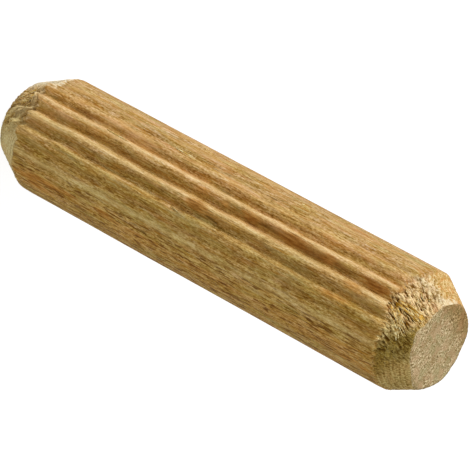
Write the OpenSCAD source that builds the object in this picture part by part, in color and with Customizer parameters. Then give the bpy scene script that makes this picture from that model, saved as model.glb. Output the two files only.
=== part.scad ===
// Fluted dowel pin, sawn from one fluted rod of hardwood and chamfered at both ends.
// The pin stands on one sawn end: +Z runs along it, the origin is the centre of the lower end face,
// and the middle flute of the first band faces -Y.

/* [Pin] */
// Diameter over the plain lands, which is also the drill size of the hole the pin is made for
pin_d = 8; // [6:0.5:20]
// Length between the two sawn end faces
pin_l = 35; // [20:1:80]

/* [Ends] */
// Length of the lead-in chamfer, measured along the pin
chamfer_l = 2.3; // [0.5:0.1:5]
// How far the chamfer brings the surface in, measured across the pin
chamfer_in = 1.25; // [0.4:0.05:2]

/* [Flutes] */
// Bands of flutes around the pin, one for each fluting roller
band_count = 2; // [1:1:2]
// Flutes in each band
flutes_per_band = 5; // [1:2:7]
// Spacing of the flutes in a band, measured around the pin's surface
flute_pitch = 1.2; // [1.1:0.05:1.4]
// Depth of the middle flute in a band
middle_depth = 0.37; // [0.3:0.01:0.5]
// Depth of the outermost flutes in a band, where the roller bites least
edge_depth = 0.2; // [0.15:0.01:0.3]
// Angle between a flute's steep wall and the radius through its root
steep_wall = 34; // [30:1:45]
// Radius of the shoulder that rounds the steep wall into the pin's surface
steep_shoulder = 0.5; // [0.2:0.05:0.7]
// Angle between a flute's long wall and the radius through its root
long_wall = 60; // [50:1:65]
// Radius of the shoulder that rounds the long wall into the pin's surface
long_shoulder = 1.3; // [0.6:0.1:1.6]

/* [Hidden] */

wood = "burlywood";
pin_r = pin_d / 2;
end_r = pin_r - chamfer_in;                   // radius of a sawn end face
first_band_turn = -90;                        // the first band faces -Y
band_step = 360 / band_count;
flute_step = flute_pitch / pin_r * 180 / PI;  // angle between neighbouring flutes
flute_reach = (flutes_per_band - 1) / 2;      // steps from the middle flute to the outermost
rounded_share = 0.9;                          // how much of a wall its shoulder may round away
overcut = 0.2;                                // how far the cuts run past the wood
lap = 0.002;                                  // how far a shoulder laps over its wall, to meet it cleanly
round_fn = 96;

// The roller bites deepest in the middle of its band, and the bite fades to the sides.
function flute_depth(step) =
    flute_reach == 0
        ? middle_depth
        : middle_depth - (middle_depth - edge_depth) * pow(step / flute_reach, 2);

// How far a shoulder reaches back along the wall from the sharp corner that it rounds.
function shoulder_cut(shoulder_r, wall_angle) = shoulder_r * tan(45 - wall_angle / 2);

// A shoulder can't be larger than the wall below it has room for, so shallow flutes have smaller ones.
function fitting_shoulder(shoulder_r, depth, wall_angle) =
    min(shoulder_r, rounded_share * depth / cos(wall_angle) / shoulder_cut(1, wall_angle));

// Cross-section of a flute on one side of its root. The pin's axis is at the origin and the root is
// on +X. A straight wall climbs from the root and rounds over a shoulder to the pin's surface.
module flute_side(depth, wall_angle, full_shoulder_r) {
    shoulder_r = fitting_shoulder(full_shoulder_r, depth, wall_angle);
    cut = shoulder_cut(shoulder_r, wall_angle);
    corner_y = depth * tan(wall_angle);
    shoulder_y = corner_y + cut;
    wall_top = [pin_r - cut * cos(wall_angle), corner_y - cut * sin(wall_angle)];
    difference() {
        polygon([
            [pin_r - depth, 0],
            wall_top,
            [wall_top.x, shoulder_y],
            [pin_r + overcut, shoulder_y],
            [pin_r + overcut, 0]
        ]);
        translate([pin_r - shoulder_r, shoulder_y])
            circle(r = shoulder_r + lap, $fn = round_fn / 2);
    }
}

// Cross-section of the flutes that one roller presses, with the middle one on +X. Every flute leans
// the same way: its steep wall is on the side of rising angle and its long wall on the other.
module flute_band() {
    for (step = [-flute_reach : flute_reach])
        rotate(step * flute_step) {
            flute_side(flute_depth(step), steep_wall, steep_shoulder);
            mirror([0, 1])
                flute_side(flute_depth(step), long_wall, long_shoulder);
        }
}

// The fluted rod that the pin is sawn from.
module fluted_rod() {
    linear_extrude(pin_l)
        difference() {
            circle(r = pin_r, $fn = round_fn);
            for (band = [0 : band_count - 1])
                rotate(first_band_turn + band * band_step)
                    flute_band();
        }
}

// Envelope that the saw and the chamfering cutters leave: flat ends with a cone at each.
module chamfered_envelope() {
    outer_r = pin_r + overcut;
    cone_l = chamfer_l * (outer_r - end_r) / chamfer_in;
    rotate_extrude($fn = round_fn)
        polygon([
            [0, 0],
            [end_r, 0],
            [outer_r, cone_l],
            [outer_r, pin_l - cone_l],
            [end_r, pin_l],
            [0, pin_l]
        ]);
}

module dowel_pin() {
    color(wood)
        intersection() {
            fluted_rod();
            chamfered_envelope();
        }
}

dowel_pin();
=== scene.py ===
# %% Load the fixed frame
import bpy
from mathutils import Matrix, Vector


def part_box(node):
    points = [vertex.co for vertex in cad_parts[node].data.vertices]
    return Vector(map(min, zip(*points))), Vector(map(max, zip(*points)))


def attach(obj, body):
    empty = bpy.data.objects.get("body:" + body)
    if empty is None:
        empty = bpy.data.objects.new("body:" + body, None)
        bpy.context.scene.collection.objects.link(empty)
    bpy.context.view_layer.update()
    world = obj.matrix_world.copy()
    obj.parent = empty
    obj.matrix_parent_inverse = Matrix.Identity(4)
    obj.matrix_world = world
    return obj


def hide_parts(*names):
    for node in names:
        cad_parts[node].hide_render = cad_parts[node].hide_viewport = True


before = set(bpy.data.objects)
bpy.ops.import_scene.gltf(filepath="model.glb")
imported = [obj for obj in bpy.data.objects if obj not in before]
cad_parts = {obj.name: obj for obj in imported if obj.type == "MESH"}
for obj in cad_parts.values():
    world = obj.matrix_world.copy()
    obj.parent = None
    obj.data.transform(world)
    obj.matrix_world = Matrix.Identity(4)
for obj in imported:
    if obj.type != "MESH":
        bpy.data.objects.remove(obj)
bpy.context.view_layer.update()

# %% [markdown]
# # A fluted dowel pin
# The real pin is one piece of hardwood, made to be glued into two drilled holes. A long rod is turned
# round, ribbed rollers press flutes into it so that glue and air can get past, a saw cuts it to
# length, and a cutter breaks both ends to a chamfer. The solid part already has the right size and the
# right flutes. What it lacks is the wood: grain, bruised flutes, torn chamfers and sawn end grain.
# A pin is small, so everything here is worked out in millimetres and turned into metres once, when
# a mesh is written.

# %% Tools and units
import math
import random

import bmesh
import bpy
import numpy as np
from mathutils import Matrix, Vector, noise

MM = 0.001
scene = bpy.context.scene
solid_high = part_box("dowel_pin")[1]
pin_r = solid_high.x / MM
pin_l = solid_high.z / MM
print(f"pin radius {pin_r:.3f} mm, length {pin_l:.3f} mm")

# %% [markdown]
# ## The blank
# The blank is a rod with a plain chamfer at each end. It could be a cylinder with bevelled ends, but
# a half section spun about the axis puts rings exactly where detail comes later: close together on
# the chamfers, where the fibres are torn, and wider apart along the body. The half section starts as
# a few corner points, and each of its edges is cut into as many steps as that stretch needs.

# %% Half section
chamfer_l = 2.3
chamfer_in = 1.25
end_r = pin_r - chamfer_in
# the ring of faces that becomes the torn step, and the finely cut stretch behind it
ledge = 0.05
fringe_l = 1.2

# radius, height, and how many cuts the edge to the next corner gets
half_section = [
    (0.0, 0.0, 4),
    (end_r, 0.0, 39),
    (pin_r, chamfer_l, 0),
    (pin_r, chamfer_l + ledge, 9),
    (pin_r, chamfer_l + fringe_l, 84),
    (pin_r, pin_l - chamfer_l - fringe_l, 11),
    (pin_r, pin_l - chamfer_l - ledge, 0),
    (pin_r, pin_l - chamfer_l, 46),
    (end_r, pin_l, 15),
    (0.0, pin_l, 0),
]
print("half section:", len(half_section), "corners")

# %% Spin the half section
columns = 452
same_place = 0.0001


def spin_blank():
    bm = bmesh.new()
    corners = [bm.verts.new((r, 0, z)) for r, z, _ in half_section]
    edges = [bm.edges.new(pair) for pair in zip(corners, corners[1:])]
    for edge, (_, _, cuts) in zip(edges, half_section):
        if cuts:
            bmesh.ops.subdivide_edges(bm, edges=[edge], cuts=cuts)
    bmesh.ops.spin(bm, geom=bm.verts[:] + bm.edges[:], axis=(0, 0, 1), cent=(0, 0, 0),
                   angle=math.tau, steps=columns, use_merge=True)
    bmesh.ops.remove_doubles(bm, verts=bm.verts[:], dist=same_place)
    bmesh.ops.recalc_face_normals(bm, faces=bm.faces[:])
    return bm


blank = spin_blank()
print("blank:", len(blank.verts), "vertices,", len(blank.faces), "faces")

# %% [markdown]
# ## Reading the blank
# Every later step asks the same of each vertex: how far round the pin is it, how far from its end,
# and is it on an end face, a chamfer or the body? The answers go into arrays once. `turn` is the angle
# in degrees from -Y, where the middle flute of the first band is. The two bands face -Y and +Y, so the
# columns are drawn together there and spread out at the sides, which gives the flutes crisp edges
# without more faces.

# %% Vertex places as arrays
gather = 0.25
same_level = 0.0005
x, y, z = np.array([v.co for v in blank.verts]).T
radius = np.hypot(x, y)
even_turn = (np.degrees(np.arctan2(y, x)) + 90 + 180) % 360 - 180
turn = even_turn - math.degrees(gather) * np.sin(2 * np.radians(even_turn))
upper = z > pin_l / 2
from_end = np.where(upper, pin_l - z, z)
on_face = from_end < same_level
on_chamfer = ~on_face & (from_end < chamfer_l + same_level)
on_body = ~on_face & ~on_chamfer
print("face, chamfer, body vertices:", on_face.sum(), on_chamfer.sum(), on_body.sum())

# %% [markdown]
# ## Uneven wood
# Wood is never as even as a lathe would leave metal. One helper gives a smooth random relief whose
# features are as wide and as long as asked. It reads a place in space and not a place on the surface,
# so there is no seam where the surface closes on itself. A second helper gives a slow change along the
# pin, for things that wander, and a third one a soft step.

# %% Relief helpers
everywhere = np.ones(len(z), bool)
seed_gap = 7.31
# the noise itself seldom leaves -0.6 to 0.6
full_range = 1.6


def around_axis(turn, r, height):
    """Places at these turns, radii and heights, one row each."""
    bearing = np.radians(turn - 90)
    return np.stack([r * np.cos(bearing), r * np.sin(bearing), height], 1)


blank_place = around_axis(turn, radius, z)


def relief(where, wide, long, seed, places=blank_place):
    """Smooth random values from about -1 to 1 at the vertices that `where` picks."""
    scaled = places[where] / (wide, wide, long) + seed * seed_gap
    values = np.zeros(len(z))
    values[where] = [noise.noise(Vector(place)) for place in scaled]
    return values * full_range


def wander(heights, length, seed):
    """Slow random change along the pin, from about -1 to 1."""
    levels, place = np.unique(heights, return_inverse=True)
    values = np.array([noise.noise(Vector((level / length, seed, 0.5))) for level in levels])
    return values[place] * full_range


def soft_step(value, start, end):
    """From 0 at start to 1 at end, with no kink at either."""
    share = np.clip((value - start) / (end - start), 0, 1)
    return share * share * (3 - 2 * share)


print("a slow change along the pin:", wander(np.linspace(0, pin_l, 5), 6, 1).round(2))

# %% [markdown]
# ## Flutes
# A fluting roller presses its ribs into the rod. The flutes lean: one wall is short and steep, the
# other is long and rounds over a wide shoulder, so that the wood between two flutes looks like a roof
# tile. The sizes are the same as in the solid part. Here each flute also wanders a little in depth
# and place, because the rod gives way more where its grain is soft.

# %% Flute section
flute_pitch = 1.2
middle_depth = 0.37
edge_depth = 0.2
steep_wall = 34.0
steep_shoulder = 0.5
long_wall = 60.0
long_shoulder = 1.3
root_round = 0.03
# a shoulder takes at most this share of its flute's depth
shoulder_share = 0.9
# a straight wall would run off for ever further round, so it is stopped here
wall_stop = 0.3
flute_turn = math.degrees(flute_pitch / pin_r)


def flute_side(aside, depth, wall_angle, full_shoulder_r):
    """Radius of a flute's wall and rounded shoulder at an angle aside from its root."""
    tilt = math.radians(wall_angle)
    bend = math.tan(math.pi / 4 - tilt / 2)
    shoulder_r = np.minimum(full_shoulder_r, shoulder_share * depth / math.cos(tilt) / bend)
    cut = shoulder_r * bend
    shoulder_side = depth * math.tan(tilt) + cut
    root = np.hypot(aside, root_round / pin_r) - 0.5 * root_round / pin_r
    wall = (pin_r - depth) / np.maximum(np.cos(root) - np.sin(root) / math.tan(tilt), wall_stop)
    centre_out = pin_r - shoulder_r
    across = centre_out * np.sin(aside) - shoulder_side * np.cos(aside)
    along = centre_out * np.cos(aside) + shoulder_side * np.sin(aside)
    shoulder = along + np.sqrt(np.maximum(shoulder_r**2 - across**2, 0))
    side = pin_r * np.tan(aside)
    on_wall = side < shoulder_side - cut * (1 + math.sin(tilt))
    return np.where(on_wall, wall, np.where(side < shoulder_side, shoulder, pin_r))


print("flutes are", round(flute_turn, 1), "degrees apart")

# %% [markdown]
# ## Pressing the flutes
# Two rollers work the rod at once, one on each side, and each presses five flutes. Cutting them with
# booleans would cost the even grid of faces, so the vertices are pressed in instead: each one takes the
# smallest radius that any flute asks of it. Pressing also changes the look of the wood: the long wall of
# a flute is bruised darker and the top of the steep wall is rubbed paler. On top of that the long wall
# gets painted shade and the top of the steep wall a painted highlight, and the same loop notes where
# both go.

# %% Press the flutes
# per flute: its place in the band, how much of its depth was pressed, how bruised it is with painted
# shade, how rubbed it is with a painted highlight, and how many degrees beside its root the rubbed edge
# and its painted highlight lie
presses = [(-2, 0.75, 0.12, 0.3, 6.8), (-1, 1.0, 0.6, 1.1, 4.4), (0, 1.0, 1.0, 0.8, 4.4),
           (1, 1.0, 0.56, 0.2, 4.4), (2, 1.0, 0.32, 0.65, 9.0)]
walls = [(steep_wall, steep_shoulder, 1), (long_wall, long_shoulder, -1)]
# degrees: how far beside the root the bruise and its painted shade are darkest, and how wide they and
# the rubbed edge with its painted highlight fade
bruise_aside = 3.6
bruise_fade = 3.3
highlight_fade = 2.6
section_r = np.full(len(z), float(pin_r))
bruise = np.zeros(len(z))
crest = np.zeros(len(z))
for band_turn in (0, 180):
    for step, pressed, bruised, rub_and_highlight, highlight_aside in presses:
        seed = step + band_turn
        depth = pressed * (middle_depth + (edge_depth - middle_depth) * (step / 2) ** 2)
        depth = depth * (1 + 0.11 * wander(z, 6, seed + 0.3) + 0.09 * wander(z, 1.7, seed + 0.4))
        root_turn = band_turn + step * flute_turn
        root_turn = root_turn + 0.6 * wander(z, 7, seed + 0.7) + 0.6 * wander(z, 2.1, seed + 0.8)
        aside = (turn - root_turn + 180) % 360 - 180
        for wall_angle, shoulder_r, side in walls:
            near = (aside * side >= 0) & (aside * side < flute_turn)
            wall = flute_side(np.radians(np.abs(aside)), depth, wall_angle, shoulder_r)
            section_r[near] = np.minimum(section_r, wall)[near]
        bruised = bruised * (1 + 0.3 * wander(z, 4, seed + 0.5))
        rub_and_highlight = rub_and_highlight * (1 + 0.25 * wander(z, 5, seed + 0.9) + 0.25 * wander(z, 1.3, seed + 0.2))
        # bruise with painted shade on the long wall; a rubbed edge with a painted highlight at the top
        # of the steep wall
        bruise = np.maximum(bruise, bruised * np.exp(-((aside + bruise_aside) / bruise_fade) ** 2))
        crest = np.maximum(crest, rub_and_highlight * np.exp(-((aside - highlight_aside) / highlight_fade) ** 2))
groove_depth = pin_r - section_r
print("fluted radius from", section_r.min().round(3), "to", section_r.max().round(3))

# %% [markdown]
# ## Ends: outlines
# The chamfering cutter doesn't run true. The sawn face it leaves is a rounded many-sided shape and
# not a circle, and the chamfer starts a little higher on one side than on the other. A few knots
# round the pin say how far out the face reaches and where the chamfer starts, and a smooth curve
# joins them. The hidden sides get milder values of the same kind.

# %% Outline knots
def around(turn, knots):
    """A smooth closed curve through (turn, value) knots, read at each turn."""
    turns = np.array([k[0] for k in knots], float)
    values = np.array([k[1] for k in knots], float)
    turns = np.concatenate([turns - 360, turns, turns + 360])
    values = np.tile(values, 3)
    place = np.clip(np.searchsorted(turns, turn, side="right") - 1, 0, len(turns) - 2)
    share = (turn - turns[place]) / (turns[place + 1] - turns[place])
    return values[place] + (values[place + 1] - values[place]) * share * share * (3 - 2 * share)


upper_face_r = [(-156, 2.58), (-137, 2.68), (-102, 2.64), (-72, 2.7), (-53, 2.64), (-36, 2.74),
                (-16, 2.67), (-1, 2.7), (15, 3.14), (32, 2.93), (69, 2.7), (100, 3.06), (134, 2.9),
                (159, 2.91), (177, 2.71)]
lower_face_r = [(-160, 2.8), (-110, 2.62), (-60, 2.75), (-20, 2.62), (30, 2.68), (75, 2.72),
                (120, 2.6), (160, 2.85)]
upper_start = [(-170, 2.1), (-110, 2.2), (-64, 1.96), (-49, 1.97), (-40, 2.19), (-32, 2.32),
               (-23, 2.4), (-13, 2.16), (-5, 2.45), (4, 2.26), (12, 2.11), (20, 1.85), (37, 1.98),
               (64, 1.97), (83, 1.95), (96, 1.95), (150, 2)]
lower_start = [(-170, 2.3), (-63, 2.43), (-38, 2.4), (-31, 1.95), (-24, 2.05), (-17, 2.2), (-12, 2.12),
               (-5, 2.5), (0, 2.55), (6, 2.27), (17, 2.45), (24, 2.1), (36, 2.42), (51, 2.41),
               (61, 2.27), (71, 2.43), (89, 2.3), (140, 2.5)]
face_r = np.where(upper, around(turn, upper_face_r), around(turn, lower_face_r))
start = np.where(upper, around(turn, upper_start), around(turn, lower_start))
print("end faces reach", face_r.min().round(2), "to", face_r.max().round(2), "mm from the axis")

# %% [markdown]
# ## Ends: torn wood
# Where the cutter ran against the grain it tore the wood instead of slicing it. There the chamfer lies
# below the body in a ragged step, as if each tile of wood between two flutes were broken off square.
# `torn_here` says how badly, from 0 for a clean cut to 1 for torn. The step is one short ring of
# faces, and the rest of the chamfer runs straight from there to the face.

# %% Tearing
upper_torn = [(-170, 0.25), (-120, 0.3), (-76, 0.1), (-59, 0.2), (-46, 0.75), (-21, 1), (29, 1),
              (44, 0.7), (64, 0.35), (84, 0.2), (129, 0.3)]
lower_torn = [(-170, 0.2), (-71, 0), (-39, 0.15), (-26, 0.7), (-13, 1), (11, 1), (23, 0.5),
              (35, 0.05), (89, 0.1), (139, 0.5)]
# relief this long is the same all along a chamfer, and a groove this deep leaves no wood to tear
unchanging = 50.0
full_groove = 0.3
torn_here = np.where(upper, around(turn, upper_torn), around(turn, lower_torn))
start = start + relief(everywhere, 0.16, unchanging, 3) * (0.03 + 0.09 * torn_here)
start = start + relief(everywhere, 0.45, unchanging, 4) * 0.14 * torn_here
face_r = face_r + relief(everywhere, 0.14, unchanging, 5) * (0.01 + 0.05 * torn_here)
step_down = 0.02 + torn_here * (0.12 + 0.55 * np.clip(full_groove - groove_depth, 0, full_groove))
rim_r = section_r - step_down
print("the torn step is up to", step_down.max().round(2), "mm deep")

# %% [markdown]
# ## Ends: shape
# Now the blank's even rings move to where the outlines want them. On a chamfer each ring goes its
# share of the way from the face's edge to the start of the chamfer. The body's rings would be crowded
# behind it, so they settle back to their even places over a few millimetres. Where wood was torn off,
# the last bit of each tile is rounded down as well.

# %% Shape the ends
settle_l = 7.0
nose_l = 0.6
nose_drop = 0.1
share_up = np.clip(from_end / chamfer_l, 0, 1)
shaped_r = np.where(on_face, radius / end_r * face_r, section_r)
shaped_r = np.where(on_chamfer, face_r + (rim_r - face_r) * share_up, shaped_r)
body_share = np.clip((from_end - chamfer_l) / (settle_l - chamfer_l), 0, 1)
settled = start + (settle_l - start) * body_share
shaped_e = np.where(on_body & (from_end < settle_l), settled, from_end)
shaped_e = np.where(on_chamfer, share_up * start, shaped_e)
nose = torn_here * (1 - soft_step(shaped_e - start, 0, nose_l))
nose = nose * np.clip(1 - groove_depth / full_groove, 0, 1)
shaped_r = shaped_r - on_body * nose_drop * nose
print("chamfers start", start.min().round(2), "to", start.max().round(2), "mm from the ends")

# %% [markdown]
# ## Ends: torn surface
# The torn surface is a felt of broken fibres that all lean the way the cutter ran. Reading the relief
# at places that are twisted about the axis makes its streaks lean, and reading it on a cylinder
# keeps them as long on the slope as they are asked to be.

# %% Torn relief
# degrees of lean per millimetre
upper_lean = 8.5
lower_lean = 20.0
mid_r = (pin_r + end_r) / 2
lean = np.where(upper, upper_lean, lower_lean) * (chamfer_l - from_end)
leant_place = around_axis(turn - lean, mid_r, z)
# the lower end was torn in coarser tufts
leant_place = leant_place * np.where(upper, 1.0, 0.5)[:, None]
strands = 1 - 2 * np.abs(relief(on_chamfer, 0.15, 1.0, 11, leant_place))
tufts = relief(on_chamfer, 0.24, 0.55, 52, leant_place)
grains = relief(on_chamfer, 0.085, 0.2, 15, leant_place)
pits = np.clip(relief(on_chamfer, 0.13, 0.28, 13, leant_place) - 0.45, 0, 0.35)
# at the lower end the torn wood spreads sideways towards the face, by degrees per millimetre
lower_spread = 7
lower_turn = turn - lower_spread * (chamfer_l - from_end) * (turn > 0)
torn_wide = np.where(upper, torn_here, around(lower_turn, lower_torn))
inside_edge = soft_step(share_up, 0.0, 0.2) * on_chamfer
tufted = np.where(upper, 0.02, 0.06)
torn_lift = torn_wide * ((0.07 - tufted) * strands + tufted * tufts + 0.06 * grains - 0.25 * pits)
ragged = turn + 3 * relief(on_chamfer, 0.14, 0.7, 44, leant_place)
splinter_turn = -1
splinters = upper * soft_step(np.abs(ragged - splinter_turn), 8, 5)
torn_lift = torn_lift * np.where(upper, 1.0 + 0.7 * splinters, 2.5)
cut_lift = 0.012 * relief(on_chamfer, 0.12, 0.5, 14)
lift = inside_edge * (torn_lift + cut_lift)
slope = math.atan2(chamfer_in, chamfer_l)
shaped_r = shaped_r + lift * math.cos(slope)
shaped_e = shaped_e - lift * math.sin(slope) * on_chamfer
print("torn wood stands", lift.max().round(3), "mm proud and goes", -lift.min().round(3), "mm deep")

# %% [markdown]
# ## Fibres on the body
# A pressed rod isn't smooth either: fibres stand a hundredth of a millimetre proud and small vessels
# lie open. That is fine enough to leave to a bump in the finish, but the larger ripples show in the
# outline, so they are real here.

# %% Body relief
ripple = relief(on_body, 0.22, 2.2, 21) * 0.6 + relief(on_body, 0.6, 9.0, 22)
vessels = np.maximum(relief(on_body, 0.1, 1.1, 23), 0)
shaped_r = shaped_r + on_body * (0.008 * ripple - 0.015 * vessels)
proudest = 0.02
shaped_r = np.minimum(shaped_r, pin_r + proudest)
sawn = relief(on_face, 0.1, 1.0, 31) * 0.4 + relief(on_face, 0.35, 1.0, 32) * 0.6
shaped_e = shaped_e + on_face * np.maximum(0, 0.012 + 0.012 * sawn) * soft_step(radius, 0.0, 0.3)
print("with its raised grain the pin reaches a radius of", shaped_r.max().round(3), "mm")

# %% [markdown]
# ## Marks
# Some marks in the wood are one of a kind: an amber patch in a flute, a brown vein, a small pit. A
# noise can't put them where they belong, so they are listed one by one. Each becomes a soft oval with
# frayed edges. The pits are pressed into the shape too.

# %% Marks
# turn, height, length and width of each mark in the wood
marks = {
    "amber": [
        (-7, 16.9, 1.3, 0.45), (-6, 18.9, 0.6, 0.4), (-7, 21.1, 1.6, 0.55), (-6, 24.6, 2.4, 0.65),
        (-7, 27.4, 1.3, 0.65), (-5, 31.4, 2.6, 0.7), (8, 17.3, 2.4, 0.75), (6, 30.1, 1.8, 0.6),
        (21, 29.0, 2.4, 0.45), (59, 10.5, 1.2, 0.4), (66, 3.6, 2.6, 0.6), (72, 4.6, 2.2, 0.5),
        (61, 5.2, 4.0, 0.6), (60, 7.4, 1.5, 0.35), (-55, 27.1, 1.6, 0.4), (-58, 12.0, 3.0, 0.3),
    ],
    "brown": [
        (-21, 6.1, 2.2, 0.35), (-6, 22.3, 1.4, 0.35), (-5, 29.2, 1.2, 0.35), (53, 8.9, 1.6, 0.26),
        (64, 5.6, 1.6, 0.2), (68, 8.2, 1.4, 0.2), (66, 19.6, 2.2, 0.18), (45, 21.2, 1.4, 0.2),
        (45, 25.2, 1.3, 0.18), (44, 27.5, 1.0, 0.16), (46, 31.1, 1.7, 0.2), (75, 29.5, 1.1, 0.2),
        (81, 21.1, 0.6, 0.2), (-6, 25.4, 8.0, 0.65), (-4, 31.3, 2.0, 0.75), (-3, 21.2, 1.4, 0.4),
        (8, 17.4, 1.6, 0.4),
    ],
    "pit": [
        (12.5, 18.5, 0.7, 0.16), (13.5, 18.9, 0.6, 0.14), (38, 33.0, 0.35, 0.2), (46, 33.05, 0.45, 0.18),
        (25, 33.2, 0.25, 0.16), (42, 33.2, 0.25, 0.14), (53, 12.2, 0.5, 0.16), (56, 12.5, 0.5, 0.14),
        (53.5, 13.3, 0.6, 0.16), (56, 13.9, 0.5, 0.16), (52, 26.8, 0.4, 0.12), (52, 28.0, 0.5, 0.12),
    ],
}
frayed = relief(everywhere, 0.12, 0.5, 41)


def marked(kind):
    """How strongly the marks of one kind cover each vertex, from 0 to 1."""
    cover = np.zeros(len(z))
    for mark_turn, height, length, width in marks[kind]:
        side = np.radians((turn - mark_turn + 180) % 360 - 180) * pin_r
        reach = np.hypot(side / (width / 2), (z - height) / (length / 2)) + 0.3 * frayed
        cover = np.maximum(cover, 1 - soft_step(reach, 0.5, 1.3))
    return cover


def percent(values):
    """How many of the values lie above one half."""
    return round(float((values > 0.5).mean() * 100), 1)


pit_depth = 0.06
brown, amber, pit = marked("brown"), marked("amber"), marked("pit")
shaped_r = shaped_r - pit_depth * pit * ~on_face
print("marks cover", percent(brown + amber + pit), "% of the vertices")

# %% [markdown]
# ## Writing the pin
# All shaping so far happened in arrays. Now every vertex of the blank gets its final place, and the
# blank becomes the mesh that stands in for the plain solid pin. It stays one closed piece, because
# the real pin is one piece, and smooth shading suits pressed wood, which has no knife-sharp edges.

# %% Write the pin
shaped_z = np.where(upper, pin_l - shaped_e, shaped_e)
shaped = around_axis(turn, shaped_r, shaped_z)
on_axis = radius < same_place
shaped[on_axis] = blank_place[on_axis]


def make_piece(name, bm):
    """A smooth piece from a mesh in millimetres, written in metres."""
    mesh = bpy.data.meshes.new(name)
    bm.to_mesh(mesh)
    bm.free()
    mesh.transform(Matrix.Scale(MM, 4))
    for polygon in mesh.polygons:
        polygon.use_smooth = True
    piece = bpy.data.objects.new(name, mesh)
    scene.collection.objects.link(piece)
    return piece


for vertex, place in zip(blank.verts, shaped):
    vertex.co = place
bmesh.ops.recalc_face_normals(blank, faces=blank.faces[:])
pin = make_piece("pin_wood", blank)
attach(pin, "root")
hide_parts("dowel_pin")
print("pin:", len(pin.data.polygons), "faces")

# %% [markdown]
# ## Painting the sides
# The finish has to know where it is: in a bruised flute with painted shade, on a rubbed crest with a
# painted highlight, on the side of the pin where the grain is flecked. An image could say so, but the
# vertices are close enough together to carry it themselves, as named attributes. The wood also isn't the
# same all round the rod, so two tints and the flecks fade in and out with the turn, and a third tint,
# partly paler wood and partly painted sheen, lies on the side that faces the lamp.

# %% Paint the sides
def paint(piece, **layers):
    """Keep values, one per vertex, under names that a finish can read."""
    for name, values in layers.items():
        layer = piece.data.attributes.new(name, "FLOAT", "POINT")
        layer.data.foreach_set("value", np.asarray(values, np.float32))


sides = {
    "olive": [(-170, 0.5), (-90, 0), (-20, 0), (8, 0.3), (26, 0.8), (60, 1), (120, 1)],
    "flecked": [(-170, 0.6), (-90, 0.1), (-10, 0.1), (20, 0.3), (44, 0.5), (52, 1), (76, 1),
                (120, 0.7)],
    # paler wood and painted sheen on the side that faces the lamp
    "fair": [(-120, 0), (-80, 0.6), (-60, 1), (-38, 1), (-28, 0), (150, 0)],
    "rusty": [(-170, 0.5), (-90, 0.3), (-12, 0.3), (10, 0), (50, 0), (60, 0.9), (72, 0.8), (84, 0.2),
              (120, 0.4)],
}
paint(pin, **{name: around(turn, knots) for name, knots in sides.items()})
# the bruise carries painted shade and the crest a painted highlight
paint(pin, bruise=bruise * on_body, crest=np.clip(crest, 0, 1) * on_body)
paint(pin, brown=brown, amber=amber, pit=pit)
print("painted the sides:", len(pin.data.attributes), "attributes")

# %% [markdown]
# ## Painting the ends
# A chamfer shows fresh wood, cut across its fibres, so it has colours of its own: dark in zones beside
# the torn band of the upper end and faintly round the back, pale where it cut clean, gold on torn
# splinters and on one smooth facet. On the lamp side of the lower end the pale zone is also painted
# light. Its border with the body is frayed where the wood is torn and sharp where it is cut. The sawn
# face has a stain on one side.

# %% Paint the ends
lower_dark = [(-170, 0.2), (-60, 0), (140, 0.3)]
lower_gold = [(-170, 0.2), (-40, 0), (-20, 1), (22, 1), (38, 0), (140, 0.2)]
# pale on the clean cut, and on the lamp side of this end also painted light
lower_pale = [(-170, 0.6), (-90, 1), (-50, 1), (-34, 0.8), (-20, 0.2), (14, 0.1), (26, 0.7),
              (50, 0.8), (90, 0.7)]
pale_spill = [(-170, 0), (-88, 0), (-70, 0.1), (-44, 0.15), (-36, 0.5), (-28, 0.45), (-20, 0)]
upper_dark = [(-170, 0.3), (-80, 0), (-10, 0.05), (12, 0.3), (22, 0.8), (30, 1), (44, 0.95),
              (54, 0.75), (66, 0.45), (100, 0.4), (140, 0.3)]
upper_pale = [(-170, 0), (-74, 0), (-62, 0.7), (-48, 0.7), (-38, 0.2), (-30, 0)]
near_end = from_end < 4
dark_lean = 16
facet_turn = -75
stain_turn = -92
fray = relief(near_end, 0.12, 0.45, 42) + relief(near_end, 0.3, 0.5, 43)
spill = np.where(upper, 0, around(turn, pale_spill)) * (1 + 0.5 * fray)
torn_reach = start + spill - shaped_e + 0.22 * fray * torn_here
border = 0.05 + 0.1 * torn_here
dark_turn = turn + dark_lean * (0.9 - from_end)
# dark zones beside the torn band of the upper end, and faintly round the back
dark_here = np.where(upper, around(dark_turn, upper_dark), around(turn, lower_dark)) * on_chamfer
by_the_face = soft_step(0.55 + 0.3 * fray - from_end, 0, 0.3)
pale_here = np.where(upper, around(turn, upper_pale) * by_the_face, around(lower_turn, lower_pale))
facet = upper * soft_step(np.abs(ragged - facet_turn), 34, 22)
gold_here = np.where(upper, np.maximum(facet, splinters), around(lower_turn, lower_gold))
stain = soft_step(radius * np.cos(np.radians(turn - stain_turn)), 0.7, 2.2)
paint(pin, chamfer=~on_face * soft_step(torn_reach, -border, border), dark=dark_here)
paint(pin, pale=pale_here * near_end, facet=facet * on_chamfer, gold=gold_here * on_chamfer)
paint(pin, face=on_face, stain=stain * upper * on_face)
print("dark on", percent(dark_here[on_chamfer]), "% of the chamfers")

# %% [markdown]
# ## Painting the torn wood
# The relief of the torn wood is finer than the soft light can show, so colour stands in for its light
# and shade: hollows get deep brown painted shade, and the tips of the fibres are bleached and get a
# painted highlight. Both are read from the same height that shaped the wood. Painted shade also lies
# between the strands, and a painted shadow under the broken ends of the tiles. Where the cutter sliced
# clean it left comb lines round the pin instead.

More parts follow.
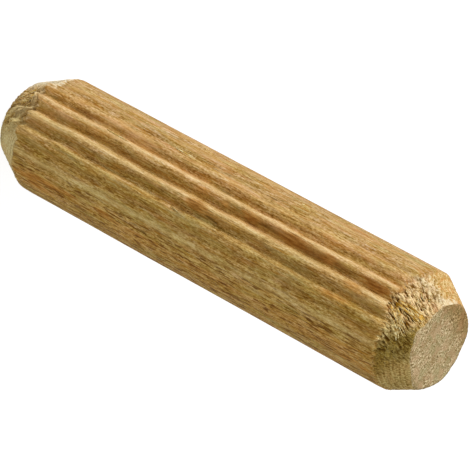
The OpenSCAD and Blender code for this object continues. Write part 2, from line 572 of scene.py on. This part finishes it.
# %% Paint the torn wood
comb_place = np.stack([np.radians(turn) * mid_r, np.zeros(len(z)), from_end], 1)
combed = relief(on_chamfer, 1.6, 0.11, 45, comb_place)
torn_height = torn_lift / np.where(upper, 1.0, 2.1)
# bleached fibre tips with a painted highlight, where the torn wood stands proud
tips = soft_step(torn_height, 0.01 * upper, 0.05 + 0.01 * upper) * (1 - 0.8 * upper * dark_here)
# painted shade between the strands, and a painted shadow just below the broken ends of the tiles
between = soft_step(-strands, -0.55, 0.0) * np.maximum(splinters, ~upper)
shadow_under_tiles = np.exp(-((start - shaped_e - 0.08) / 0.12) ** 2) * soft_step(fray, -0.4, 0.6)
# painted shade in the hollows of the torn relief, between the strands and under the tiles
hollow = np.maximum(soft_step(-torn_height, 0.0, 0.06), np.maximum(0.9 * between, 0.5 * shadow_under_tiles))
hollow = hollow * np.where(upper, 0.4 + 0.6 * soft_step(from_end, 0.2, 0.8), 0.6)
paint(pin, combed=combed * (1 - torn_wide) * (1 - 0.6 * facet) * on_chamfer)
paint(pin, tips=tips * on_chamfer, hollow=hollow * torn_wide * on_chamfer)
print("hollow on", percent(hollow[on_chamfer]), "% of the chamfers")

# %% [markdown]
# ## Torn fibres
# At the torn part of a chamfer single fibres stand up, pale and needle-thin. They could be part of the
# relief, but a relief can't overhang, so each is a thin cone that springs from the torn wood and leans
# the way the cutter ran. They are one piece of their own, which leaves the pin's mesh closed.

# %% Fibre helper
fibre_sides = 5
# how far the torn rim lies below the pin's surface, and how deep a fibre is rooted
torn_sink = 0.32
root_sink = 0.05
dice = random.Random(7)
fibre_bm = bmesh.new()
shade = []
goldness = []


def chamfer_r(turn, e, upper_end):
    """Radius of a chamfer at one turn and distance from its end, without its relief."""
    outlines = (upper_face_r, upper_start) if upper_end else (lower_face_r, lower_start)
    edge_r, rim_e = [around((turn + 180) % 360 - 180, knots) for knots in outlines]
    return edge_r + (pin_r - torn_sink - edge_r) * min(e / rim_e, 1)


def add_fibre(root, tip, thick, bow, gold, shaded=1.0):
    """A thin cone from root to tip, bowed outwards in the middle and shaded dark at its root."""
    verts = fibre_bm.verts
    count = len(verts)
    length = (tip - root).length
    bmesh.ops.create_cone(fibre_bm, cap_ends=True, segments=fibre_sides, radius1=thick / 2,
                          radius2=thick / 10, depth=length)
    verts.ensure_lookup_table()
    edges = [e for v in verts[count:count + fibre_sides] for e in v.link_edges
             if abs(e.verts[0].co.z - e.verts[1].co.z) > length / 2]
    bmesh.ops.subdivide_edges(fibre_bm, edges=list(set(edges)), cuts=2)
    turned = (tip - root).to_track_quat("Z", "Y").to_matrix()
    outwards = Vector((root.x, root.y, 0)).normalized()
    halfway = (root + tip) / 2
    verts.ensure_lookup_table()
    for v in verts[count:]:
        share = v.co.z / length + 0.5
        v.co = halfway + turned @ v.co + outwards * bow * 4 * share * (1 - share)
        shade.append(shaded * (1 - share))
        goldness.append(gold)


print("1 mm from the end the upper chamfer's radius is", round(chamfer_r(0, 1, True), 2), "mm")

# %% [markdown]
# ## Growing the fibres
# The fibres are sown at random between two turns and two distances from the end, and each group has
# its own lean, length and colour: short ones all over the torn wood, thick gold splinters in one
# band, a few pale curls beside it. Seeded dice make every run grow the same ones.

# %% Grow the fibres
def point_at(turn, r, height):
    bearing = math.radians(turn - 90)
    return Vector((r * math.cos(bearing), r * math.sin(bearing), height))


def on_chamfer_at(turn, e, upper_end, out):
    """The point that lies `out` outside a chamfer, e from its end."""
    return point_at(turn, chamfer_r(turn, e, upper_end) + out, pin_l - e if upper_end else e)


def grow(count, upper_end, turns, reach, lean, gold=0.0, thick=0.07, lift=0.12, lengths=(0.3, 0.9)):
    """Fibres rooted between two turns and two distances from the end, leaning by degrees per mm."""
    for _ in range(count):
        turn = dice.uniform(*turns)
        e = dice.uniform(*reach)
        length = dice.uniform(*lengths)
        root = on_chamfer_at(turn, e, upper_end, -root_sink)
        tip_e = max(e - length, 0.1)
        tip = on_chamfer_at(turn + lean * (e - tip_e), tip_e, upper_end, dice.uniform(0.0, lift))
        own_thick = thick * dice.uniform(0.7, 1.3)
        bow = dice.uniform(0.0, 0.06)
        add_fibre(root, tip, own_thick, bow, gold * dice.uniform(0.7, 1.0))


grow(60, True, (-32, 14), (0.5, 2.2), 9, gold=0.3, lengths=(0.2, 0.6))
grow(12, True, (-60, -20), (0.5, 2.2), 9, gold=0.5, lengths=(0.2, 0.6))
grow(11, True, (-8, 0), (1.3, 2.2), 1, gold=1.0, thick=0.16, lift=0.28, lengths=(0.7, 1.2))
grow(14, True, (-9, -1), (0.7, 1.4), 8, gold=1.0, thick=0.17, lift=0.3, lengths=(0.6, 1.0))
grow(8, True, (1, 9), (1.7, 2.3), 10, gold=0.9, thick=0.13, lift=0.25, lengths=(0.4, 0.8))
grow(12, True, (6, 15), (1.2, 1.9), 12, gold=0.2, thick=0.11, lift=0.25, lengths=(0.5, 0.9))
grow(3, True, (19, 23), (1.15, 1.35), 22, thick=0.16, lift=0.3, lengths=(0.3, 0.45))
grow(60, False, (-32, 30), (0.5, 2.0), 18, gold=0.8, thick=0.08)
grow(20, False, (100, 180), (0.6, 2.2), 8, gold=0.5)
grow(12, True, (120, 180), (0.6, 1.9), 8, gold=0.5)
print("torn fibres:", len(fibre_bm.faces), "faces")

# %% [markdown]
# ## Raised hairs
# The rollers also raised single hairs on the body. There are only a few, so they are given one by one,
# between two points each. Hairs and fibres are written together, as one piece.

# %% Raised hairs
# turns and heights of the two ends of each hair
raised_hairs = [(20, 15.6, 24, 17.6), (-15, 8.2, -14, 10.4), (-34, 13.0, -33, 14.8),
                (-50, 22.4, -47, 23.6)]
hair_thick = 0.07
hair_bow = 0.1
hair_gold = 0.4
for root_turn, root_z, tip_turn, tip_z in raised_hairs:
    root = point_at(root_turn, pin_r - root_sink, root_z)
    tip = point_at(tip_turn, pin_r - root_sink, tip_z)
    add_fibre(root, tip, hair_thick, hair_bow, hair_gold, shaded=0.0)
bmesh.ops.recalc_face_normals(fibre_bm, faces=fibre_bm.faces[:])
fibres = make_piece("torn_fibres", fibre_bm)
paint(fibres, gold=goldness, shade=shade)
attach(fibres, "root")
print("fibres and hairs:", len(fibres.data.polygons), "faces")

# %% [markdown]
# ## The grain as a node group
# Everything in wood is stretched along the grain: the fibres, the vessels, the rays, the slow changes
# of colour. So one node group makes them all. It turns the pin about its axis, divides each direction
# by the size that a feature should have there, and reads a noise. Object coordinates keep it fixed to
# the wood, in real millimetres.

# %% Wood streaks group
def add_node(nodes, kind, **settings):
    """A new shader node with these settings."""
    node = nodes.new("ShaderNode" + kind)
    for name, value in settings.items():
        setattr(node, name, value)
    return node


def build_streaks():
    group = bpy.data.node_groups.new("Wood streaks", "ShaderNodeTree")
    for label, value in (("Width", 0.2), ("Depth", 0.2), ("Length", 2.0),
                         ("Turn", 0.0), ("Detail", 2.0), ("Seed", 0.0)):
        socket = group.interface.new_socket(label, in_out="INPUT", socket_type="NodeSocketFloat")
        socket.default_value = value
    group.interface.new_socket("Value", in_out="OUTPUT", socket_type="NodeSocketFloat")
    nodes, links = group.nodes, group.links
    enter = nodes.new("NodeGroupInput")
    leave = nodes.new("NodeGroupOutput")
    place = add_node(nodes, "TexCoord")
    rotate = add_node(nodes, "VectorRotate", rotation_type="Z_AXIS")
    links.new(place.outputs["Object"], rotate.inputs["Vector"])
    links.new(enter.outputs["Turn"], rotate.inputs["Angle"])
    size = add_node(nodes, "CombineXYZ")
    links.new(enter.outputs["Depth"], size.inputs["X"])
    links.new(enter.outputs["Width"], size.inputs["Y"])
    links.new(enter.outputs["Length"], size.inputs["Z"])
    metres = add_node(nodes, "VectorMath", operation="SCALE")
    metres.inputs["Scale"].default_value = MM
    links.new(size.outputs[0], metres.inputs[0])
    divide = add_node(nodes, "VectorMath", operation="DIVIDE")
    links.new(rotate.outputs[0], divide.inputs[0])
    links.new(metres.outputs[0], divide.inputs[1])
    shift = add_node(nodes, "VectorMath", operation="ADD")
    links.new(divide.outputs[0], shift.inputs[0])
    links.new(enter.outputs["Seed"], shift.inputs[1])
    grain = add_node(nodes, "TexNoise")
    grain.inputs["Scale"].default_value = 1.0
    grain.inputs["Roughness"].default_value = 0.6
    links.new(shift.outputs[0], grain.inputs["Vector"])
    links.new(enter.outputs["Detail"], grain.inputs["Detail"])
    links.new(grain.outputs["Fac"], leave.inputs["Value"])
    return group


streaks = build_streaks()
print("wood streaks group:", len(streaks.nodes), "nodes")

# %% [markdown]
# ## A helper for finishes
# A wood finish takes many nodes, and in plain code they are hard to read. This small class holds one
# material and gives short names to what a finish does again and again. Each call adds the nodes that
# it needs and returns the socket with their result.

# %% Finish helper
class Finish:
    """A material under construction, with short ways to add and join its nodes."""

    def __init__(self, name):
        self.material = bpy.data.materials.new(name)
        self.material.use_nodes = True
        self.nodes = self.material.node_tree.nodes
        self.links = self.material.node_tree.links
        self.shader = self.nodes["Principled BSDF"]

    def feed(self, socket, value):
        """Link an input if the value is another node's output, and set it if not."""
        if isinstance(value, bpy.types.NodeSocket):
            self.links.new(value, socket)
        else:
            socket.default_value = (*value, 1) if isinstance(value, tuple) else value

    def fill(self, node, **values):
        """Feed a node's inputs by name, so that Base_Color=... goes into its Base Color."""
        for label, value in values.items():
            self.feed(node.inputs[label.replace("_", " ")], value)

    def streak(self, width, length, seed, detail=2, depth=None, turn=0):
        """Streaks this wide and long, and as deep as they are wide if no depth is given."""
        node = add_node(self.nodes, "Group", node_tree=streaks)
        self.fill(node, Width=width, Depth=depth or width, Length=length, Seed=seed, Detail=detail,
                  Turn=math.radians(turn))
        return node.outputs["Value"]

    def ramp(self, value, low, high, out_low=0.0, out_high=1.0):
        """Smoothly from out_low where the value is low to out_high where it is high."""
        node = add_node(self.nodes, "MapRange", interpolation_type="SMOOTHSTEP")
        self.fill(node, Value=value, From_Min=low, From_Max=high, To_Min=out_low, To_Max=out_high)
        return node.outputs["Result"]

    def combine(self, operation, a, b):
        node = add_node(self.nodes, "Math", operation=operation)
        self.feed(node.inputs[0], a)
        self.feed(node.inputs[1], b)
        return node.outputs[0]

    def weighted(self, *parts):
        """The sum of several values, each times its own weight."""
        terms = [self.combine("MULTIPLY", value, weight) for value, weight in parts]
        total = terms[0]
        for term in terms[1:]:
            total = self.combine("ADD", total, term)
        return total

    def mix(self, share, a, b, blend="MIX"):
        node = add_node(self.nodes, "Mix", data_type="RGBA", blend_type=blend)
        self.fill(node, Factor=share, A=a, B=b)
        return node.outputs["Result"]

    def lay(self, under, over, streak, low, high, most, where=None):
        """Patches of the colour `over`, where a streak is high and an attribute allows them."""
        share = self.ramp(streak, low, high, 0, most)
        if where is not None:
            share = self.combine("MULTIPLY", share, where)
        return self.mix(share, under, over)

    def shades(self, value, stops):
        """Colour of a value, read off a strip of (value, colour) stops."""
        node = add_node(self.nodes, "ValToRGB")
        strip = node.color_ramp
        strip.elements[0].position, strip.elements[1].position = stops[0][0], stops[-1][0]
        for position, _ in stops[1:-1]:
            strip.elements.new(position)
        for element, (_, colour) in zip(strip.elements, stops):
            element.color = (*colour, 1)
        self.fill(node, Fac=value)
        return node.outputs["Color"]

    def painted(self, name, strength=1.0):
        """A painted attribute, times a strength."""
        node = add_node(self.nodes, "Attribute", attribute_name=name)
        return self.combine("MULTIPLY", node.outputs["Fac"], strength)


print("a finish can", [name for name in vars(Finish) if not name.startswith("_")])

# %% [markdown]
# ## Body wood
# The wood is a plain tan hardwood. Its tone changes on four scales at once, from single fibres to broad
# bands, so four streaks are added up, and one strip of colours turns the sum into wood, from dark
# vessels to light fibres. Rubbed crests, which also carry a painted highlight, get a second and lighter
# strip. Two strips look more like wood than one darkened colour does, because dark wood is also redder.

# %% Body wood
wood = Finish("Pressed hardwood")
grit = wood.streak(0.08, 0.22, seed=14, detail=1)
fine = wood.streak(0.1, 1.0, seed=1)
thread = wood.streak(0.26, 1.7, seed=7)
broad = wood.streak(0.9, 7, seed=2)
tone = wood.weighted((grit, 0.36), (fine, 0.32), (thread, 0.17), (broad, 0.15))
colour = wood.shades(tone, [(0.405, (0.27, 0.12, 0.012)), (0.465, (0.46, 0.248, 0.056)),
                            (0.53, (0.62, 0.378, 0.124)), (0.585, (0.79, 0.53, 0.235))])
# lighter strip for rubbed crests with their painted highlight
rub_and_highlight = wood.shades(tone, [(0.405, (0.72, 0.485, 0.19)), (0.53, (0.91, 0.655, 0.31)),
                            (0.585, (1.0, 0.79, 0.44))])
print("body wood:", len(wood.nodes), "nodes")

# %% [markdown]
# ## Patches of colour
# Wood that grew in different years differs in colour and not only in tone. Longer and wider streaks
# lay amber, olive, pink and rusty patches over the tan. The pink ones keep to the side that isn't
# olive. Two more streaks change the warmth and keep the brightness, so that dark fibres differ in hue.

# %% Patches
amber_patch = wood.streak(0.5, 3.2, seed=3)
colour = wood.lay(colour, (0.6, 0.27, 0.05), amber_patch, 0.52, 0.64, 0.42)
olive_patch = wood.streak(0.6, 4.0, seed=12, detail=3)
colour = wood.lay(colour, (0.47, 0.34, 0.11), olive_patch, 0.52, 0.64, 0.4)
pink_patch = wood.streak(0.8, 5.0, seed=15, detail=3)
sunny_side = wood.combine("SUBTRACT", 1.0, wood.painted("olive", 0.8))
colour = wood.lay(colour, (0.74, 0.44, 0.165), pink_patch, 0.51, 0.62, 0.5, sunny_side)
rust = wood.streak(0.14, 1.3, seed=19, detail=1)
colour = wood.lay(colour, (0.42, 0.185, 0.016), rust, 0.57, 0.66, 0.65)
warmth = wood.streak(0.5, 3.0, seed=21)
warm_tint = wood.shades(warmth, [(0.38, (0.98, 1.03, 0.99)), (0.62, (1.05, 1.0, 1.02))])
colour = wood.mix(1.0, colour, warm_tint, "MULTIPLY")
blond = wood.streak(0.35, 2.0, seed=22)
blond_tint = wood.shades(blond, [(0.38, (1.0, 1.0, 0.86)), (0.62, (1.0, 1.0, 1.16))])
colour = wood.mix(1.0, colour, blond_tint, "MULTIPLY")
print("with patches:", len(wood.nodes), "nodes")

# %% [markdown]
# ## Flecks and hairs
# Rays run from the heart of the tree to its bark. Where the surface cuts along them they show as thin
# dark flecks, and where it cuts across them as short spindles. A ray is flat, so its streak is deep
# one way and narrow the other, turned to where the heart was. Fine pale hairs lie between them.

# %% Flecks and hairs
ray_turn = 21.5
ray = wood.streak(0.13, 1.1, seed=4, detail=1, depth=1.6, turn=ray_turn)
colour = wood.lay(colour, (0.22, 0.082, 0.006), ray, 0.57, 0.64, 0.9, wood.painted("flecked"))
spindle = wood.streak(0.13, 1.0, seed=24, detail=1)
colour = wood.lay(colour, (0.18, 0.065, 0.004), spindle, 0.61, 0.68, 0.9, wood.painted("flecked"))
hair = wood.streak(0.05, 1.3, seed=13, detail=1)
colour = wood.lay(colour, (0.88, 0.62, 0.29), hair, 0.58, 0.7, 0.45)
print("with flecks:", len(wood.nodes), "nodes")

# %% [markdown]
# ## Bruises with painted shade, highlights and marks
# Pressed wood is darker and warmer, as if it were wet, and the long walls of the flutes carry painted
# shade in the same tint. Multiplying the colour keeps its grain, where mixing in a flat brown would hide
# it. Rubbed crests change to the lighter strip as a painted highlight, and the marks are laid over both.

# %% Bruises with painted shade, highlights and marks
# bruised wood and painted shade on the long walls of the flutes
colour = wood.mix(wood.painted("bruise"), colour, (0.66, 0.59, 0.38), "MULTIPLY")
# rubbed crests and a painted highlight at the top of the steep walls
colour = wood.mix(wood.painted("crest", 0.7), colour, rub_and_highlight)
amber_colour = wood.mix(wood.ramp(fine, 0.4, 0.6), (0.42, 0.16, 0.02), (0.7, 0.345, 0.08))
colour = wood.mix(wood.painted("amber", 0.7), colour, amber_colour)
colour = wood.mix(wood.painted("brown", 0.6), colour, (0.48, 0.33, 0.13), "MULTIPLY")
print("with bruises and marks:", len(wood.nodes), "nodes")

# %% [markdown]
# ## Chamfer
# The chamfer is mixed in layers, each one where its attribute was painted. First comes speckled torn
# wood, then blushes and gold, then pale zones, partly painted light, dark zones and comb lines. Bleached
# tips with their painted highlight and deep hollows with their painted shade come last, so that they
# stay crisp. The tints of the sides lie over chamfer and body alike, and the one on the lamp side is
# partly painted sheen.

# %% Chamfer
speck = wood.streak(0.08, 0.3, seed=6)
torn_colour = wood.shades(speck, [(0.38, (0.3, 0.165, 0.028)), (0.5, (0.66, 0.435, 0.165)),
                                  (0.62, (1.0, 0.76, 0.42))])
blush = wood.streak(0.5, 1.5, seed=16)
torn_colour = wood.lay(torn_colour, (0.78, 0.46, 0.22), blush, 0.5, 0.62, 0.5)
gold_colour = wood.mix(wood.ramp(speck, 0.38, 0.62), (0.46, 0.225, 0.02), (0.9, 0.62, 0.235))
torn_colour = wood.mix(wood.painted("gold", 0.85), torn_colour, gold_colour)
flush = wood.streak(0.3, 0.6, seed=23)
torn_colour = wood.lay(torn_colour, (0.66, 0.29, 0.06), flush, 0.5, 0.6, 0.7, wood.painted("facet"))
# pale clean-cut wood, also used as painted light on the lamp side of the lower end
pale_colour = wood.mix(wood.ramp(speck, 0.34, 0.66), (0.9, 0.64, 0.3), (1.0, 0.87, 0.57))
dark_colour = wood.mix(wood.ramp(speck, 0.34, 0.66), (0.14, 0.07, 0.003), (0.5, 0.325, 0.068))
# a negative strength picks the lines between the combed ones
# the tips layer is a painted highlight and the hollow layer is painted shade
layers = [("pale", 1, pale_colour), ("dark", 1, dark_colour), ("combed", 0.5, (0.92, 0.78, 0.42)),
          ("combed", -0.7, (0.2, 0.11, 0.015)), ("tips", 0.8, (1.0, 0.79, 0.4)),
          ("hollow", 1, (0.18, 0.07, 0.0005))]
for name, strength, layer in layers:
    torn_colour = wood.mix(wood.painted(name, strength), torn_colour, layer)
colour = wood.mix(wood.painted("chamfer"), colour, torn_colour)
# the tint on the side that faces the lamp is partly painted sheen
tints = [("olive", (0.985, 1.03, 0.84)), ("fair", (0.965, 1.035, 1.15)), ("rusty", (1.05, 0.97, 0.93))]
for name, tint in tints:
    colour = wood.mix(wood.painted(name), colour, tint, "MULTIPLY")
print("with the chamfer:", len(wood.nodes), "nodes")

# %% [markdown]
# ## End grain
# On a sawn end one looks into the fibres, so the grain is dots and not streaks. Two noises with no
# direction across the pin give them, with three kinds of stain, a few short cracks, and the stain
# that was painted on one side. Open pores and pits are dark everywhere on the pin.

# %% End grain
end_fine = wood.streak(0.08, 0.5, seed=8)
end_coarse = wood.streak(0.17, 0.5, seed=20)
end_tone = wood.weighted((end_fine, 0.55), (end_coarse, 0.45))
end_colour = wood.shades(end_tone, [(0.41, (0.17, 0.1, 0.025)), (0.5, (0.56, 0.415, 0.185)),
                                    (0.59, (0.98, 0.8, 0.48))])
for width, stain_colour, seed in ((1.1, (0.37, 0.235, 0.085), 11), (0.8, (0.45, 0.38, 0.17), 17),
                                  (0.7, (0.66, 0.44, 0.23), 18)):
    patch = wood.streak(width, 9, seed=seed, detail=4)
    end_colour = wood.lay(end_colour, stain_colour, patch, 0.48, 0.6, 0.55)
end_colour = wood.mix(wood.painted("stain", 0.9), end_colour, (0.7, 0.57, 0.4), "MULTIPLY")
colour = wood.mix(wood.painted("face"), colour, end_colour)
crack = wood.streak(0.16, 0.6, seed=25, detail=1, depth=0.1, turn=25)
colour = wood.lay(colour, (0.17, 0.1, 0.025), crack, 0.66, 0.73, 0.7, wood.painted("face"))
pore = wood.streak(0.05, 0.6, seed=5, detail=0)
colour = wood.lay(colour, (0.12, 0.05, 0.012), pore, 0.7, 0.8, 0.35)
colour = wood.mix(wood.painted("pit", 0.6), colour, (0.08, 0.04, 0.008))
print("with the end grain:", len(wood.nodes), "nodes")

# %% [markdown]
# ## Shader
# Raw wood is dull: a little of the light bounces off, and the rest comes back coloured. A bump as fine
# as the fibres makes the flutes look pressed and not moulded. It stands for a few hundredths of a
# millimetre, so nothing of the shape depends on it.

# %% Wood shader
bump_height = 0.05
bump = add_node(wood.nodes, "Bump")
rough_grain = wood.combine("ADD", fine, wood.combine("MULTIPLY", grit, 0.5))
wood.fill(bump, Height=rough_grain, Distance=bump_height * MM, Strength=1.0)
dullness = wood.ramp(fine, 0.3, 0.7, 0.66, 0.5)
wood.fill(wood.shader, Base_Color=colour, Roughness=dullness, Specular_IOR_Level=0.06,
          Normal=bump.outputs["Normal"])
pin.data.materials.append(wood.material)
print("wood finish:", len(wood.nodes), "nodes")

# %% [markdown]
# ## Fibre finish
# A torn fibre is bleached at its tip and dark at its root, where the others shade it. Pale and gold
# ones differ in colour, and the painted share of gold chooses between them.

# %% Fibre finish
fibre = Finish("Torn fibre")
fibre_streak = fibre.streak(0.12, 0.6, seed=9)
pale_fibre = fibre.mix(fibre.ramp(fibre_streak, 0.4, 0.6), (0.68, 0.47, 0.15), (1.0, 0.87, 0.45))
gold_fibre = fibre.mix(fibre.ramp(fibre_streak, 0.4, 0.6), (0.8, 0.46, 0.055), (1.0, 0.8, 0.36))
fibre_colour = fibre.mix(fibre.painted("gold"), pale_fibre, gold_fibre)
shaded = fibre.ramp(fibre.painted("shade"), 0.5, 1.0, 0, 0.9)
fibre_colour = fibre.mix(shaded, fibre_colour, (0.36, 0.165, 0.005))
fibre.fill(fibre.shader, Base_Color=fibre_colour, Roughness=0.55, Specular_IOR_Level=0.0)
fibres.data.materials.append(fibre.material)
print("fibre finish:", len(fibre.nodes), "nodes")

# %% [markdown]
# ## Studio
# The pin stands on its sawn end on a plain white floor, under one large soft lamp. The floor glows a
# little, which is a cheap stand-in for a light tent: it keeps the shadow faint and lights the pin from
# below. To the camera it glows more than to the pin, so it can be white without flooding the wood.

# %% Floor
floor_reach = 3000
glow_for_pin = 0.28
glow_for_camera = 0.86
floor_bm = bmesh.new()
bmesh.ops.create_grid(floor_bm, x_segments=2, y_segments=2, size=floor_reach)
floor = make_piece("studio_floor", floor_bm)
paper = Finish("White paper")
light_path = add_node(paper.nodes, "LightPath")
glow = paper.ramp(light_path.outputs["Is Camera Ray"], 0, 1, glow_for_pin, glow_for_camera)
paper.fill(paper.shader, Base_Color=(0.3, 0.3, 0.3), Roughness=0.9, Emission_Color=(1, 1, 1),
           Emission_Strength=glow)
floor.data.materials.append(paper.material)
print("floor glows for the pin with", glow_for_pin, "and for the camera with", glow_for_camera)

# %% [markdown]
# ## Camera
# The camera looks down on the pin from the side with the torn chamfer, through a long lens, so the
# far end is hardly smaller than the near one. The pin stands upright, and the view shows it lying on
# a slant, so the camera is rolled instead of the pin. Its matrix is put together from three
# directions, which is easier to follow than three angles.

# %% Camera
view_turn = 13.5
view_height = 33.05
axis_lean = 28.57
view_distance = 255.6
focal_length = 311.9
camera_data = bpy.data.cameras.new("camera")
camera_data.lens = focal_length
camera_data.sensor_width = 36
camera_data.clip_start = 0.01
camera = bpy.data.objects.new("camera", camera_data)
scene.collection.objects.link(camera)
scene.camera = camera


def direction(turn, height):
    """Where to look from, as a turn round the pin and an angle above the floor."""
    rise = math.radians(height)
    return point_at(turn, math.cos(rise), math.sin(rise))


back = direction(view_turn, view_height)
right = Vector((0, 0, 1)).cross(back).normalized()
up = back.cross(right)
# an upright camera would show the pin's axis upwards, and this roll lays it down to the right
roll = math.radians(-(90 + axis_lean))
turned_right = right * math.cos(roll) - up * math.sin(roll)
turned_up = right * math.sin(roll) + up * math.cos(roll)
middle = Vector((0, 0, pin_l / 2))
aim_right, aim_up = 0.49, -0.39
eye = middle + back * view_distance + turned_right * aim_right + turned_up * aim_up
camera.matrix_world = Matrix((
    (turned_right.x, turned_up.x, back.x, eye.x * MM),
    (turned_right.y, turned_up.y, back.y, eye.y * MM),
    (turned_right.z, turned_up.z, back.z, eye.z * MM),
    (0, 0, 0, 1),
))
print("camera stands", round(eye.z), "mm above the floor")

# %% [markdown]
# ## Lights
# One soft lamp from the left draws the flutes: it lights their steep walls and leaves the long ones
# in shade. The even white world fills the shadows. More lamps would only flatten the flutes again.

# %% Lights
key_turn = view_turn - 74
key_height = 30
key_distance = 500
key_size = 200
key_data = bpy.data.lights.new("key", "AREA")
key_data.shape = "DISK"
key_data.size = key_size * MM
key_data.energy = 1.5
key_data.color = (1, 1.01, 1.15)
key = bpy.data.objects.new("key", key_data)
to_key = direction(key_turn, key_height)
key.location = (middle + to_key * key_distance) * MM
key.rotation_euler = to_key.to_track_quat("Z", "Y").to_euler()
scene.collection.objects.link(key)
world = bpy.data.worlds.new("studio")
world.use_nodes = True
world.node_tree.nodes["Background"].inputs["Color"].default_value = (1, 1, 1, 1)
world.node_tree.nodes["Background"].inputs["Strength"].default_value = 0.55
scene.world = world
scene.view_settings.view_transform = "Standard"
print("key lamp at", [round(v) for v in key.location / MM], "mm")

# %% [markdown]
# ## Sizes
# Shaping must not change the size of the part.
